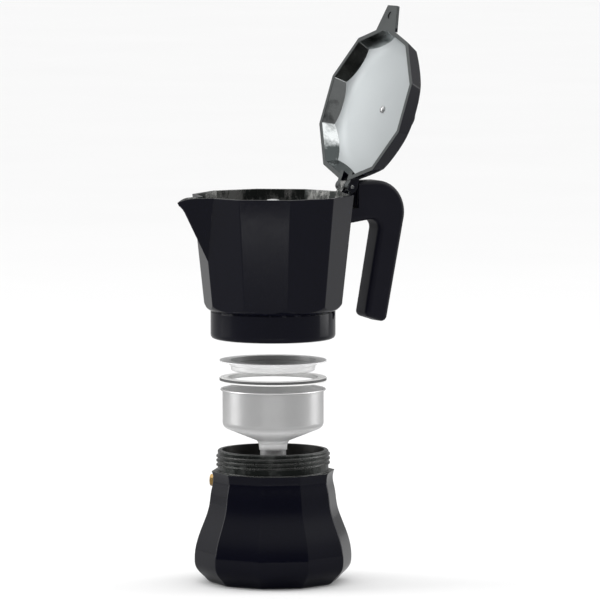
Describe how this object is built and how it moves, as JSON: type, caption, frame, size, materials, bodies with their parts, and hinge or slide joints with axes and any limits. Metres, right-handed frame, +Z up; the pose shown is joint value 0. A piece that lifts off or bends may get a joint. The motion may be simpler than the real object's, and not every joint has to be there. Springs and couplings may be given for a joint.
{
  "type": "stovetop coffee maker",
  "caption": "Ten-sided stovetop espresso pot, drawn apart: boiler, funnel, gasket, filter plate, and jug with spout, open lid and drop handle.",
  "frame": {"origin": "centre of the boiler's flat rest face", "axes": "+Z up along the boiler's axis, -X towards the spout, +X towards the handle"},
  "size_m": [0.1831, 0.107, 0.3879],
  "materials": {
    "boiler_enamel": "gloss",
    "brass": "satin",
    "seal_rubber": "matt",
    "spring_steel": "bright",
    "spun_aluminium": "satin",
    "white_silicone": "matt",
    "polished_aluminium": "polished",
    "jug_enamel": "gloss",
    "handle_plastic": "soft touch",
    "steel": "bright",
    "lid_enamel": "gloss",
    "knob_plastic": "satin"
  },
  "bodies": {
    "boiler": {"boiler": "boiler_enamel", "valve_body": "brass", "valve_washer": "seal_rubber", "valve_nut": "brass", "valve_spring": "spring_steel", "valve_retainer": "brass"},
    "valve_piston": {"valve_piston": "brass"},
    "funnel": {"funnel_bowl": "spun_aluminium", "funnel_stem": "spun_aluminium", "funnel_strainer": "spun_aluminium"},
    "gasket": {"gasket": "white_silicone"},
    "filter_plate": {"filter_plate": "spun_aluminium"},
    "jug_carrier": {"column": "polished_aluminium"},
    "jug": {"jug": "jug_enamel", "handle": "handle_plastic", "handle_pin": "steel", "hinge_pin": "steel"},
    "lid": {"lid": "lid_enamel", "knob": "knob_plastic", "knob_screw": "steel", "knob_washer": "polished_aluminium"}
  },
  "joints": [
    {"name": "valve_lift", "type": "slide", "parent": "boiler", "child": "valve_piston", "axis": [-0.766, 0.6428, 0], "range_m": [0, 0.0008], "stiffness_N_per_m": 400, "springref_m": -0.0005},
    {"name": "funnel_lift", "type": "slide", "parent": "boiler", "child": "funnel", "axis": [0, 0, 1], "range_m": [-0.0402, 0.05]},
    {"name": "gasket_lift", "type": "slide", "parent": "funnel", "child": "gasket", "axis": [0, 0, 1], "range_m": [-0.0046, 0.012]},
    {"name": "filter_lift", "type": "slide", "parent": "gasket", "child": "filter_plate", "axis": [0, 0, 1], "range_m": [-0.01038, 0]},
    {"name": "jug_lift", "type": "slide", "parent": "filter_plate", "child": "jug_carrier", "axis": [0, 0, 1], "range_m": [-0.03396, 0.015]},
    {"name": "jug_screw", "type": "hinge", "parent": "jug_carrier", "child": "jug", "pos_m": [0, 0, 0.16554], "axis": [0, 0, 1], "range_deg": [-1246, 0]},
    {"name": "lid_hinge", "type": "hinge", "parent": "jug", "child": "lid", "pos_m": [0.0574, 0, 0.26614], "axis": [0, 1, 0], "range_deg": [-108, 0]}
  ],
  "couplings": [
    {"joint": "filter_lift", "follows": "jug_screw", "m_per_rad": 0.00047746}
  ]
}
